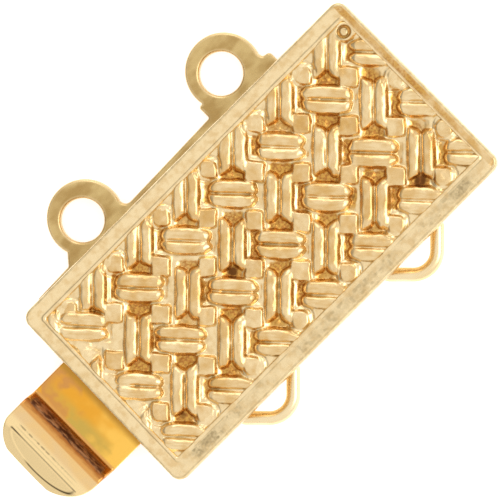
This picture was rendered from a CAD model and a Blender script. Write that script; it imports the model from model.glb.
"""Looks of a two-strand box clasp with a cast basket-weave cover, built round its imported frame.

Every piece is worked out in millimetres in the frame's own axes and turned to metres once, in
Shell.build. +Z is up from the flat back, +X points away from the thumb tab, and the rings of
the sliding tongue stand out on the +Y side.
"""
import logging
import math
from dataclasses import dataclass, field
from enum import Enum

import bpy
import numpy as np
from mathutils import Matrix, Vector
from mathutils.geometry import delaunay_2d_cdt


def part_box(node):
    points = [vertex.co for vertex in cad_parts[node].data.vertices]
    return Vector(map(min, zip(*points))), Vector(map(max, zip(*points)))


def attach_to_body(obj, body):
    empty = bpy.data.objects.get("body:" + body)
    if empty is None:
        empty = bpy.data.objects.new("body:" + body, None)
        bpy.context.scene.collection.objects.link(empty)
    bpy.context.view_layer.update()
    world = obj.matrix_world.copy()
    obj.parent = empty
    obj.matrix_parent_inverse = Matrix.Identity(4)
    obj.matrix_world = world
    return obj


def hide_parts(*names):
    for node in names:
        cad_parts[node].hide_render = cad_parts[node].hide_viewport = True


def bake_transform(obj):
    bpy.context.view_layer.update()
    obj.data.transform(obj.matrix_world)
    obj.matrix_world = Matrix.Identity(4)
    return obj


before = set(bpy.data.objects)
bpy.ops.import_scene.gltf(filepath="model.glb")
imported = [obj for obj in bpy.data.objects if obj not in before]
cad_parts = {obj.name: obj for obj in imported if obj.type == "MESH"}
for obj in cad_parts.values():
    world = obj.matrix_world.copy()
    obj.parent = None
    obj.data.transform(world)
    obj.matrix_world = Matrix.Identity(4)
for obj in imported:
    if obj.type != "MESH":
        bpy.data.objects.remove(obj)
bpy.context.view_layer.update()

MM = 0.001
Array = np.ndarray
Pair = tuple[float, float]
Triple = tuple[float, float, float]
Socket = bpy.types.NodeSocket
Pieces = list[bpy.types.Object]
log = logging.getLogger("box_clasp")


class Body(Enum):
    """The bodies of the clasp that move against each other."""

    BOX = "box"
    TONGUE = "tongue"
    SPRING = "spring"


class Gilt(Enum):
    """The record's material slots, one for each way that the gilt brass was finished."""

    CAST = "cast_gilt"
    SHEET = "sheet_gilt"
    SATIN = "satin_gilt"
    SPRING = "spring_gilt"


def corner_mm(node: str) -> tuple[Array, Array]:
    """Gives the box of a CAD node in millimetres.

    Args:
        node: Name of the node.

    Returns:
        Its lowest and its highest corner.
    """
    low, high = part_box(node)
    return np.array(low) / MM, np.array(high) / MM


def ease(low: float, high: float, x: Array) -> Array:
    """Rises from 0 to 1 between two values of x, as 3t^2 - 2t^3 of the share t that is passed.

    Args:
        low: Value of x where the rise starts.
        high: Value of x where it ends, which may be lower than the start.
        x: Where to evaluate it.

    Returns:
        The risen share at each x.
    """
    t = np.clip((x - low) / (high - low), 0.0, 1.0)
    return t * t * (3.0 - 2.0 * t)


def bell(distance: Array, width: float) -> Array:
    """Falls from 1 towards 0 on both sides of a line: e to minus the square of distance over width.

    Args:
        distance: Distance from the line, of either sign.
        width: Distance at which it has fallen to 0.37.

    Returns:
        The height of the bell curve.
    """
    return np.exp(-((distance / width) ** 2))


def value_noise(x: Array, y: Array, cell: float, seed: int) -> Array:
    """Gives smooth random heights: seeded numbers on a square lattice, eased between neighbours.

    Args:
        x: First coordinate of the points, in mm.
        y: Second coordinate of the points, in mm.
        cell: Spacing of the lattice, in mm.
        seed: Seed of the lattice's numbers.

    Returns:
        Heights from -1 to 1.
    """
    size = 256
    table = np.random.default_rng(seed).uniform(-1.0, 1.0, (size, size))
    gx, gy = x / cell, y / cell
    i, j = np.floor(gx).astype(int), np.floor(gy).astype(int)
    fx, fy = ease(0.0, 1.0, gx - i), ease(0.0, 1.0, gy - j)

    def corner(di: int, dj: int) -> Array:
        """Gives the lattice's number at one corner of each point's cell."""
        return table[(i + di) % size, (j + dj) % size]

    near = corner(0, 0) * (1.0 - fx) + corner(1, 0) * fx
    far = corner(0, 1) * (1.0 - fx) + corner(1, 1) * fx
    return near * (1.0 - fy) + far * fy


def arc(centre: Pair, radius: float, start: float, end: float, count: int) -> Array:
    """Gives points along an arc: centre plus radius times the cosine and sine of the angle.

    Args:
        centre: Middle of the arc.
        radius: Its radius.
        start: First angle, in degrees.
        end: Last angle, in degrees.
        count: Number of points.

    Returns:
        Points of shape (count, 2).
    """
    angle = np.radians(np.linspace(start, end, count))
    return np.array(centre) + radius * np.stack([np.cos(angle), np.sin(angle)], axis=1)


def filleted(points: list[Triple], closed: bool, steps: int = 8) -> Array:
    """Rounds the corners of a polyline with arcs that touch both of a corner's lines.

    Args:
        points: Corners as (x, y, radius), where radius 0 keeps the corner sharp.
        closed: Whether the last corner joins the first.
        steps: Points on each arc.

    Returns:
        The rounded line as points of shape (n, 2).
    """
    made = []
    count = len(points)
    for k, (x, y, radius) in enumerate(points):
        here = np.array([x, y])
        ends = not closed and k in (0, count - 1)
        if radius == 0.0 or ends:
            made.append(here[None])
            continue
        back = np.array(points[k - 1][:2]) - here
        ahead = np.array(points[(k + 1) % count][:2]) - here
        back /= np.linalg.norm(back)
        ahead /= np.linalg.norm(ahead)
        half = math.acos(float(np.clip(back @ ahead, -1.0, 1.0))) / 2.0
        reach = radius / math.tan(half)
        middle = here + (back + ahead) / np.linalg.norm(back + ahead) * radius / math.sin(half)
        first, last = here + back * reach - middle, here + ahead * reach - middle
        a0 = math.atan2(first[1], first[0])
        turn = (math.atan2(last[1], last[0]) - a0 + math.pi) % (2.0 * math.pi) - math.pi
        degrees = (math.degrees(a0), math.degrees(a0 + turn))
        made.append(arc(tuple(middle), radius, *degrees, steps))
    return np.concatenate(made)


def respaced(path: Array, spacing: float, closed: bool) -> Array:
    """Divides a polyline into equal steps along its length.

    Args:
        path: Points of shape (n, 2) or (n, 3).
        spacing: Wanted length of a step.
        closed: Whether the last point joins the first.

    Returns:
        The new points, without a repeated last point on a closed path.
    """
    line = np.concatenate([path, path[:1]]) if closed else path
    length = np.concatenate([[0.0], np.cumsum(np.linalg.norm(np.diff(line, axis=0), axis=1))])
    count = max(3, round(length[-1] / spacing))
    at = np.linspace(0.0, length[-1], count + 1)
    at = at[:-1] if closed else at
    return np.stack([np.interp(at, length, line[:, k]) for k in range(line.shape[1])], axis=1)


def left_normals(path: Array) -> Array:
    """Gives the unit normals on the left of a closed plane path.

    A normal is the chord between a point's two neighbours, turned by a quarter turn.

    Args:
        path: Points of shape (n, 2).

    Returns:
        Normals of the same shape.
    """
    chord = np.roll(path, -1, axis=0) - np.roll(path, 1, axis=0)
    normal = np.stack([-chord[:, 1], chord[:, 0]], axis=1)
    return normal / np.linalg.norm(normal, axis=1, keepdims=True)


def grid_faces(rows: int, cols: int, wrap_rows: bool = False, wrap_cols: bool = False) -> Array:
    """Lists the four-sided faces of a grid of points that is stored row by row.

    Args:
        rows: Number of rows.
        cols: Number of points in a row.
        wrap_rows: Whether the last row joins the first.
        wrap_cols: Whether the last point of a row joins its first.

    Returns:
        Point indices of shape (faces, 4).
    """
    r = np.arange(rows if wrap_rows else rows - 1)[:, None]
    c = np.arange(cols if wrap_cols else cols - 1)[None, :]
    r1, c1 = (r + 1) % rows, (c + 1) % cols
    corners = [r * cols + c, r * cols + c1, r1 * cols + c1, r1 * cols + c]
    cells = (len(r), c.shape[1])
    return np.stack([np.broadcast_to(k, cells) for k in corners], axis=2).reshape(-1, 4)


@dataclass
class Shell:
    """A closed surface in millimetres, with the values that its finish reads.

    Attributes:
        points: Vertices of shape (n, 3).
        faces: Arrays of faces, each of shape (m, 3) or (m, 4), whose front is outside.
        values: Point attributes by name, one number or three for each vertex.
        flat: How many of the last arrays of faces are shaded flat.
    """

    points: Array
    faces: list[Array]
    values: dict[str, Array] = field(default_factory=dict)
    flat: int = 0

    def build(self, name: str) -> bpy.types.Object:
        """Makes the mesh and its object, at the origin and in metres.

        Args:
            name: Name of the piece.

        Returns:
            The linked object.
        """
        mesh = bpy.data.meshes.new(name)
        faces = [row for part in self.faces for row in part.tolist()]
        mesh.from_pydata((self.points * MM).tolist(), [], faces)
        smooth = np.arange(len(self.faces)) < len(self.faces) - self.flat
        mesh.polygons.foreach_set("use_smooth", np.repeat(smooth, [len(part) for part in self.faces]))
        for key, value in self.values.items():
            kind = "FLOAT" if value.ndim == 1 else "FLOAT_VECTOR"
            slot = "value" if value.ndim == 1 else "vector"
            made = mesh.attributes.new(key, kind, "POINT")
            made.data.foreach_set(slot, value.astype(np.float32).ravel())
        mesh.update()
        piece = bpy.data.objects.new(name, mesh)
        bpy.context.scene.collection.objects.link(piece)
        return piece


def capped_tube(rings: Array) -> Shell:
    """Joins a row of rings into a tube whose ends are closed by fans to their middles.

    Args:
        rings: Points of shape (rings, points in a ring, 3), each ring seen against its
            direction of travel in clockwise order.

    Returns:
        The closed shell.
    """
    count, around = rings.shape[:2]
    ends = np.stack([rings[0].mean(axis=0), rings[-1].mean(axis=0)])
    here = np.arange(around)
    ahead = (here + 1) % around
    last = (count - 1) * around
    first_fan = np.stack([ahead, here, np.full(around, count * around)], axis=1)
    last_fan = np.stack([last + here, last + ahead, np.full(around, count * around + 1)], axis=1)
    sides = grid_faces(count, around, wrap_cols=True)
    return Shell(np.concatenate([rings.reshape(-1, 3), ends]), [sides, first_fan, last_fan])


def edge_profile(low: float, high: float, low_r: float, high_r: float, steps: int = 6) -> Array:
    """Gives the edge of a plate from its top face, round the rim, to its bottom face.

    Each rounding is a quarter circle, with one more point on the flat face just inside it.

    Args:
        low: Height of the bottom face.
        high: Height of the top face.
        low_r: Rounding of the bottom edge.
        high_r: Rounding of the top edge.
        steps: Points on each rounding.

    Returns:
        Rows of (distance inwards from the rim, height).
    """
    flat = 0.04
    top = arc((high_r, high - high_r), high_r, 90.0, 180.0, steps)
    bottom = arc((low_r, low + low_r), low_r, 180.0, 270.0, steps)
    return np.concatenate([[(high_r + flat, high)], top, bottom, [(low_r + flat, low)]])


def room_inside(loop: Array, normal: Array) -> Array:
    """Gives the radius of the largest circle that touches each point of an outline from inside.

    A circle that touches point p and passes through point q has the squared distance of the two,
    over twice the part of that distance along the normal, as its radius. The least of them counts.

    Args:
        loop: Closed outline with the metal on its left.
        normal: Unit normals of its points.

    Returns:
        A radius for each point.
    """
    apart = loop[None] - loop[:, None]
    along = (apart * normal[:, None]).sum(axis=2)
    least = 1e-6
    facing = along > least
    radius = (apart**2).sum(axis=2) / np.where(facing, 2.0 * along, 1.0)
    return np.where(facing, radius, np.inf).min(axis=1)


def filled(points: Array, rims: list[Array]) -> Array:
    """Fills a flat face between its rims with triangles, by a constrained Delaunay triangulation.

    A triangle whose three points lie on one and the same inner rim spans a round hole, and is
    left out.

    Args:
        points: All vertices, of shape (n, 3).
        rims: Indices of each rim's points in order, the outer rim first.

    Returns:
        Triangles of point indices, anticlockwise from above.
    """
    inside_only, nearness = 1, 1e-7
    index = np.concatenate(rims)
    owner = np.concatenate([np.full(len(rim), k) for k, rim in enumerate(rims)])
    starts = np.cumsum([0, *(len(rim) for rim in rims[:-1])])
    edges = [
        np.stack([np.arange(len(rim)), (np.arange(len(rim)) + 1) % len(rim)], axis=1) + start
        for rim, start in zip(rims, starts)
    ]
    plan = [Vector(p) for p in points[index, :2].tolist()]
    sides = np.concatenate(edges).tolist()
    _, _, made, origin, _, _ = delaunay_2d_cdt(plan, sides, [], inside_only, nearness)
    source = np.array([ids[0] for ids in origin])
    triangles = source[np.array(made)]
    owners = owner[triangles]
    spans = (owners == owners[:, :1]).all(axis=1) & (owners[:, 0] > 0)
    triangles = index[triangles[~spans]]
    a, b, c = (points[triangles[:, k], :2] for k in range(3))
    area = (b - a)[:, 0] * (c - a)[:, 1] - (b - a)[:, 1] * (c - a)[:, 0]
    return np.where(area[:, None] > 0.0, triangles, triangles[:, ::-1])


def plate(loops: list[Array], profile: Array) -> Shell:
    """Makes a flat plate with a carried edge.

    The profile goes round each outline, and the two faces inside the innermost rows are filled
    with triangles. At a tight corner the profile is narrowed to nine tenths of the circle that
    fits there, so that its rows don't cross.

    Args:
        loops: Closed outlines with the metal on their left, the outer one first.
        profile: Rows of (distance inwards, height), from the top face to the bottom face.

    Returns:
        The closed shell.
    """
    points, faces, tops, bottoms = [], [], [], []
    start = 0
    rows = len(profile)
    most = 0.9
    for loop in loops:
        normal = left_normals(loop)
        around = len(loop)
        fits = np.minimum(1.0, most * room_inside(loop, normal) / profile[:, 0].max())
        plan = loop[None] + (normal * fits[:, None])[None] * profile[:, :1, None]
        height = np.broadcast_to(profile[:, 1][:, None, None], (rows, around, 1))
        points.append(np.concatenate([plan, height], axis=2).reshape(-1, 3))
        faces.append(grid_faces(rows, around, wrap_cols=True)[:, ::-1] + start)
        tops.append(np.arange(around) + start)
        bottoms.append(np.arange(around) + start + (rows - 1) * around)
        start += rows * around
    every = np.concatenate(points)
    top = filled(every, tops)
    bottom = filled(every, bottoms)[:, ::-1]
    return Shell(every, [*faces, top, bottom], flat=2)


def linear(hex_colour: str) -> tuple[float, float, float, float]:
    """Turns an sRGB hex colour to linear light.

    Args:
        hex_colour: Colour such as "#E8CF9A".

    Returns:
        Linear red, green, blue and an alpha of 1.
    """
    parts = [int(hex_colour[k:k + 2], 16) / 255.0 for k in (1, 3, 5)]
    light = [c / 12.92 if c <= 0.04045 else ((c + 0.055) / 1.055) ** 2.4 for c in parts]
    return (*light, 1.0)


def add_node(
    tree: bpy.types.NodeTree,
    kind: str,
    settings: dict[str, object] | None = None,
    links: dict[str | int, object] | None = None,
) -> bpy.types.Node:
    """Adds a node, sets its properties, and fills its inputs.

    Args:
        tree: Node tree that it goes into.
        kind: Blender's name of the node's type.
        settings: Properties by name.
        links: Inputs by name or number, each a value or the output socket that feeds it.

    Returns:
        The new node.
    """
    made = tree.nodes.new(kind)
    for name, value in (settings or {}).items():
        setattr(made, name, value)
    for name, value in (links or {}).items():
        if isinstance(value, Socket):
            tree.links.new(value, made.inputs[name])
        else:
            made.inputs[name].default_value = value
    return made


class Graph:
    """Nodes of one finish, with the few sums that every finish here is put together from."""

    # Numbers of the colour sockets on a Mix node
    MIX_FACTOR, MIX_A, MIX_B, MIX_OUT = 0, 6, 7, 2
    # Strength of each finer layer of noise against the one before
    FINER = 0.55

    def __init__(self, name: str) -> None:
        """Makes an empty material.

        Args:
            name: Name of the material.
        """
        self.material = bpy.data.materials.new(name)
        self.material.use_nodes = True
        self.tree = self.material.node_tree
        self.tree.nodes.clear()

    def object_mm(self) -> Socket:
        """Gives Object coordinates in millimetres.

        Returns:
            The socket that holds them.
        """
        place = add_node(self.tree, "ShaderNodeTexCoord").outputs["Object"]
        scale = {0: place, "Scale": 1.0 / MM}
        return add_node(self.tree, "ShaderNodeVectorMath", {"operation": "SCALE"}, scale).outputs[0]

    def value_of(self, name: str, output: str = "Fac") -> Socket:
        """Reads a point attribute.

        Args:
            name: Name of the attribute.
            output: "Fac" for a number or "Vector" for three.

        Returns:
            The socket that holds it.
        """
        return add_node(self.tree, "ShaderNodeAttribute", {"attribute_name": name}).outputs[output]

    def noise(self, where: Socket, size: Triple, detail: float) -> Socket:
        """Makes noise from 0 to 1 whose grains have a real size. Most of it lies from 0.3 to 0.7.

        Args:
            where: Coordinates in mm.
            size: Size of a grain along the three axes, in mm.
            detail: Number of finer layers.

        Returns:
            The noise.
        """
        scale = tuple(1.0 / s for s in size)
        links = {"Vector": where, "Scale": scale}
        spot = add_node(self.tree, "ShaderNodeMapping", {"vector_type": "POINT"}, links).outputs[0]
        fill = {"Vector": spot, "Scale": 1.0, "Detail": detail, "Roughness": self.FINER}
        return add_node(self.tree, "ShaderNodeTexNoise", None, fill).outputs[0]

    def between(
        self, x: Socket, low: float, high: float, to_low: float = 0.0, to_high: float = 1.0
    ) -> Socket:
        """Maps a number smoothly from one range to another, and holds it there.

        Args:
            x: Number to map.
            low: Start of its range.
            high: End of its range.
            to_low: What the start becomes.
            to_high: What the end becomes.

        Returns:
            The mapped number.
        """
        fill = {"Value": x, "From Min": low, "From Max": high, "To Min": to_low, "To Max": to_high}
        kind = {"interpolation_type": "SMOOTHSTEP"}
        return add_node(self.tree, "ShaderNodeMapRange", kind, fill).outputs[0]

    def sum_of(self, operation: str, a: Socket | float, b: Socket | float) -> Socket:
        """Works out a sum of two numbers.

        Args:
            operation: Blender's name of the sum, such as "MULTIPLY".
            a: First number.
            b: Second number.

        Returns:
            The result.
        """
        return add_node(self.tree, "ShaderNodeMath", {"operation": operation}, {0: a, 1: b}).outputs[0]

    def tint(self, share: Socket | float, base: Socket | str, over: Socket | str) -> Socket:
        """Blends from one colour to another.

        Args:
            share: Share of the second colour.
            base: First colour, as hex or a socket.
            over: Second colour, as hex or a socket.

        Returns:
            The blended colour.
        """
        a, b = (linear(c) if isinstance(c, str) else c for c in (base, over))
        fill = {self.MIX_FACTOR: share, self.MIX_A: a, self.MIX_B: b}
        made = add_node(self.tree, "ShaderNodeMix", {"data_type": "RGBA"}, fill)
        return made.outputs[self.MIX_OUT]

    def raised(self, height: Socket, depth_mm: float, under: Socket | None = None) -> Socket:
        """Turns a height from 0 to 1 to a bumped normal.

        Args:
            height: The height.
            depth_mm: What a height of 1 stands for, in mm.
            under: Normal that the bump is added to, if any.

        Returns:
            The normal.
        """
        fill: dict[str | int, object] = {"Height": height, "Distance": depth_mm * MM, "Strength": 1.0}
        if under is not None:
            fill["Normal"] = under
        return add_node(self.tree, "ShaderNodeBump", None, fill).outputs[0]

    def metal(self, colour: Socket, roughness: Socket | float, normal: Socket) -> bpy.types.Material:
        """Ends the graph in bare metal.

        Args:
            colour: Colour of the reflection.
            roughness: Roughness.
            normal: Bumped normal.

        Returns:
            The material.
        """
        fill = {"Base Color": colour, "Metallic": 1.0, "Roughness": roughness, "Normal": normal}
        shader = add_node(self.tree, "ShaderNodeBsdfPrincipled", None, fill)
        end = {"Surface": shader.outputs[0]}
        add_node(self.tree, "ShaderNodeOutputMaterial", None, end)
        return self.material


@dataclass(frozen=True)
class CastGilt:
    """Gilt cast brass: bright on what polishing reached, amber and matt where it did not.

    Attributes:
        bright: Gold on the polished tops.
        shade: Browner gold in the streaks along the strands.
        amber: Gold that is left unpolished in the hollows.
        rust: Orange brown of the residue in the pits.
        seam: Olive brown along the feet of strands and squares, where no cloth reaches.
        stain: Dark brown residue in a few pits.
        worn: Greyed olive of the rubbed border.
        streak_mm: Width of the lines that the model's strands left along themselves.
        grit_mm: Size of the casting's grit, drawn coarse enough to show.
        patch_mm: Size of the patches where the amber spreads or shrinks.
        smear_mm: Size of the smears in which the border is rubbed.
        depth_mm: Depth of the streaks and of the grit.
    """

    bright: str = "#F6DCAB"
    shade: str = "#E4C28A"
    amber: str = "#D2A050"
    rust: str = "#B47A3E"
    seam: str = "#8C7A52"
    stain: str = "#6E4420"
    worn: str = "#B29C72"
    streak_mm: float = 0.12
    grit_mm: float = 0.12
    patch_mm: float = 0.7
    smear_mm: float = 0.34
    depth_mm: float = 0.004

    def material(self) -> bpy.types.Material:
        """Builds the node material.

        A cast top shows soft lights on its polished crests, and between them a dull amber that
        darkens to brown in the pits, where no cloth reaches.

        Returns:
            The material.
        """
        g = Graph("gilt_cast_brass")
        hollow = g.value_of("hollow")
        streak_size = (self.streak_mm * 5.0, self.streak_mm, 1.0)
        streak = g.noise(g.value_of("grain", "Vector"), streak_size, 2.0)
        place = g.object_mm()
        grit = g.noise(place, (self.grit_mm,) * 3, 3.0)
        patch = g.noise(place, (self.patch_mm,) * 3, 2.0)
        bright = g.tint(g.between(streak, 0.38, 0.72, 0.0, 0.75), self.bright, self.shade)
        amber_share = g.sum_of("ADD", hollow, g.between(patch, 0.3, 0.7, -0.12, 0.12))
        colour = g.tint(g.between(amber_share, 0.02, 0.7), bright, self.amber)
        crumbs = g.sum_of("MULTIPLY", g.between(grit, 0.43, 0.60), g.between(hollow, 0.3, 0.7))
        colour = g.tint(crumbs, colour, self.rust)
        colour = g.tint(g.value_of("seam"), colour, self.seam)
        colour = g.tint(g.between(hollow, 1.0, 1.7), colour, self.stain)
        smear = g.noise(place, (self.smear_mm,) * 3, 2.0)
        smeared = g.between(smear, 0.30, 0.60, 0.2, 0.7)
        rubbed = g.sum_of("ADD", smeared, g.between(grit, 0.46, 0.60, 0.0, 0.3))
        colour = g.tint(g.sum_of("MULTIPLY", g.value_of("worn"), rubbed), colour, self.worn)
        polished = g.between(grit, 0.3, 0.7, 0.17, 0.28)
        rough = g.sum_of("ADD", polished, g.between(hollow, 0.2, 1.0, 0.0, 0.2))
        normal = g.raised(streak, self.depth_mm)
        normal = g.raised(grit, self.depth_mm, normal)
        return g.metal(colour, rough, normal)


@dataclass(frozen=True)
class SheetGilt:
    """Gilt rolled brass of the tray and its wire loops, bright and almost plain.

    Attributes:
        bright: Gold of the plating.
        warm: Warmer gold in the faint clouds of the plating.
        cloud_mm: Size of those clouds along the three axes.
        grain_mm: Size of the fine lines left by rolling and barrel polishing, along the axes.
        depth_mm: Depth of those lines.
    """

    bright: str = "#F6DFB2"
    warm: str = "#F1D4A0"
    cloud_mm: Triple = (1.4, 1.4, 1.0)
    grain_mm: Triple = (0.5, 0.06, 0.06)
    depth_mm: float = 0.0004

    def material(self) -> bpy.types.Material:
        """Builds the node material.

        Barrel-polished sheet and wire mirror the room softly, with next to no pattern.

        Returns:
            The material.
        """
        g = Graph("gilt_sheet_brass")
        place = g.object_mm()
        cloud = g.noise(place, self.cloud_mm, 2.0)
        grain = g.noise(place, self.grain_mm, 1.0)
        colour = g.tint(g.between(cloud, 0.35, 0.7), self.bright, self.warm)
        rough = g.between(grain, 0.3, 0.7, 0.25, 0.29)
        return g.metal(colour, rough, g.raised(grain, self.depth_mm))


@dataclass(frozen=True)
class SatinGilt:
    """Gilt brass sheet of the tongue and its rings: a soft satin, olive gold in the face.

    Attributes:
        face: Olive gold of the flat face.
        cloud: Browner clouds in the plating.
        rim: Pale gold where tumbling has brightened the edges.
        cloud_mm: Size of those clouds along the three axes.
        grain_mm: Size of the satin's grain, drawn coarse enough to show.
        depth_mm: Depth of that grain.
    """

    face: str = "#D6B87C"
    cloud: str = "#AE8A50"
    rim: str = "#ECCD98"
    cloud_mm: Triple = (1.5, 0.8, 1.0)
    grain_mm: float = 0.1
    depth_mm: float = 0.002

    def material(self) -> bpy.types.Material:
        """Builds the node material.

        Stamped sheet with a thin plating shows an even, slightly olive face, and a pale line
        where its edges rubbed against others in the barrel.

        Returns:
            The material.
        """
        g = Graph("gilt_satin_sheet")
        place = g.object_mm()
        cloud = g.noise(place, self.cloud_mm, 2.0)
        grain = g.noise(place, (self.grain_mm,) * 3, 3.0)
        colour = g.tint(g.between(cloud, 0.36, 0.66, 0.0, 0.8), self.face, self.cloud)
        colour = g.tint(g.value_of("rim"), colour, self.rim)
        rough = g.between(grain, 0.3, 0.7, 0.24, 0.34)
        return g.metal(colour, rough, g.raised(grain, self.depth_mm))


@dataclass(frozen=True)
class SpringGilt:
    """Gilt spring brass, heat-tinted amber on the leaf, brown in its bend, pale on the tab.

    A pair of places says where something starts and where it is full, as the strip lies at rest.

    Attributes:
        amber: Amber of the leaf.
        glow: Lighter amber towards the leaf's bright corner.
        olive: Greenish patch in the middle of the leaf.
        rose: Pinkish patch beside it.
        bend: Orange on both flanks of the bend.
        flank: Browner orange right beside the bend's bottom, on the tab's side.
        soot: Greyed brown along the bend's bottom, which its flanks redden by reflection.
        crust: Darker flecks in it.
        dirt: Olive black of what is caught in the tab's pressed lines.
        shadow: Browner amber beside the cover's edge.
        pale: Pale gold of the tab's level part.
        face: Lighter gold of the tab's sloped face.
        cloud_mm: Size of the heat tint's clouds along the three axes.
        grain_mm: Size of the drawing lines along the three axes.
        fleck_mm: Size of the flecks in the bend, which are drawn out across the strip.
        depth_mm: Depth of the drawing lines.
        olive_x: Olive patch.
        shadow_in_x: Shadow beside the cover, from the tab's side.
        shadow_out_x: The same shadow, from the far side.
        bend_x: Orange of the bend.
        core_in_x: Soot, from the cover's side.
        core_out_x: Soot, from the tab's side.
        core_y: Soot, from the strip's long edges.
        flank_x: Browner flank.
        fade_x: Change of that flank back to the bend's orange.
        tab_x: Pale tab.
        face_x: Lighter sloped face of the tab.
    """

    amber: str = "#EEAA3A"
    glow: str = "#FFC85C"
    olive: str = "#D0AC52"
    rose: str = "#CC8F58"
    bend: str = "#DFA35A"
    flank: str = "#B06A30"
    soot: str = "#CC986C"
    crust: str = "#6E4630"
    dirt: str = "#3A2C0E"
    shadow: str = "#BD8A38"
    pale: str = "#EBC893"
    face: str = "#FADCA2"
    cloud_mm: Triple = (0.9, 1.3, 1.0)
    grain_mm: Triple = (0.8, 0.07, 0.5)
    fleck_mm: Triple = (0.12, 0.50, 0.20)
    depth_mm: float = 0.002
    olive_x: Pair = (-11.1, -11.7)
    shadow_in_x: Pair = (-10.75, -10.35)
    shadow_out_x: Pair = (-9.2, -10.0)
    bend_x: Pair = (-11.98, -12.10)
    core_in_x: Pair = (-12.18, -12.34)
    core_out_x: Pair = (-12.64, -12.54)
    core_y: Pair = (2.38, 2.20)
    flank_x: Pair = (-12.48, -12.56)
    fade_x: Pair = (-12.60, -12.86)
    tab_x: Pair = (-12.92, -13.02)
    face_x: Pair = (-13.35, -13.65)

    def material(self) -> bpy.types.Material:
        """Builds the node material.

        Brass strip that was heated before it was plated keeps an amber tint that changes in
        clouds. Its bend holds a dark crust that no polishing reaches, and its tab was polished.

        Returns:
            The material.
        """
        g = Graph("gilt_spring_brass")
        rest = g.value_of("rest", "Vector")
        axes = add_node(g.tree, "ShaderNodeSeparateXYZ", None, {0: rest})
        x, y = axes.outputs["X"], axes.outputs["Y"]
        cloud = g.noise(rest, self.cloud_mm, 2.0)
        grain = g.noise(rest, self.grain_mm, 2.0)
        drift = g.sum_of("ADD", y, g.between(cloud, 0.3, 0.7, -0.9, 0.9))
        colour = g.tint(g.between(drift, 0.6, -2.4), self.amber, self.glow)
        middle = g.sum_of("MULTIPLY", g.between(x, *self.olive_x), g.between(drift, 2.2, 0.2))
        middle = g.sum_of("MULTIPLY", middle, g.between(drift, -2.6, -0.8))
        colour = g.tint(middle, colour, self.olive)
        rose = g.sum_of("MULTIPLY", g.between(drift, 0.9, 1.8), g.between(drift, 2.9, 2.0))
        colour = g.tint(g.sum_of("MULTIPLY", rose, 0.7), colour, self.rose)
        fleck = g.noise(rest, self.fleck_mm, 3.0)
        edge = g.sum_of("ABSOLUTE", y, 0.0)
        beside = g.sum_of("MULTIPLY", g.between(x, *self.shadow_in_x), g.between(x, *self.shadow_out_x))
        colour = g.tint(beside, colour, self.shadow)
        colour = g.tint(g.between(x, *self.bend_x), colour, self.bend)
        near = g.sum_of("ADD", x, g.between(fleck, 0.3, 0.7, -0.04, 0.04))
        core = g.sum_of("MULTIPLY", g.between(near, *self.core_in_x), g.between(near, *self.core_out_x))
        core = g.sum_of("MULTIPLY", core, g.between(edge, *self.core_y))
        colour = g.tint(g.between(near, *self.flank_x), colour, self.flank)
        colour = g.tint(core, colour, g.tint(g.between(fleck, 0.38, 0.60), self.soot, self.crust))
        colour = g.tint(g.between(near, *self.fade_x), colour, self.bend)
        tab = g.tint(g.between(cloud, 0.35, 0.75, 0.0, 0.3), self.pale, self.glow)
        tab = g.tint(g.between(x, *self.face_x), tab, self.face)
        colour = g.tint(g.between(x, *self.tab_x), colour, tab)
        colour = g.tint(g.value_of("dirt"), colour, self.dirt)
        polished = g.between(grain, 0.3, 0.7, 0.14, 0.24)
        rough = g.sum_of("ADD", polished, g.sum_of("MULTIPLY", core, 0.3))
        return g.metal(colour, rough, g.raised(grain, self.depth_mm))


@dataclass(frozen=True)
class Strands:
    """One of the two directions of strands in the basket weave.

    Attributes:
        half: Shift of its lattice along both axes, in half steps.
        sign: 1 for strands along the lattice's rising diagonal, -1 along the falling one.
        shift: Further shift of its lattice, as (along the box, across the box).
        length: Length of a crest.
        taper: Share by which a pair draws together at its ends.
        notch: How far a pair's ends are cut back in its middle, or stand out there if negative.
        corner: Radius of a crest's corners.
        pits: How much residue fills the pits at a strand's lower and upper end.
    """

    half: int
    sign: float
    shift: Pair
    length: float
    taper: float
    notch: float
    corner: float
    pits: Pair


LYING = Strands(
    half=0, sign=-1.0, shift=(0.03, 0.01), length=2.28, taper=0.34, notch=-0.04, corner=0.28,
    pits=(0.85, 0.25),
)
RISING = Strands(
    half=1, sign=1.0, shift=(-0.03, -0.03), length=2.60, taper=0.05, notch=0.33, corner=0.17,
    pits=(0.6, 0.75),
)


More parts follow.
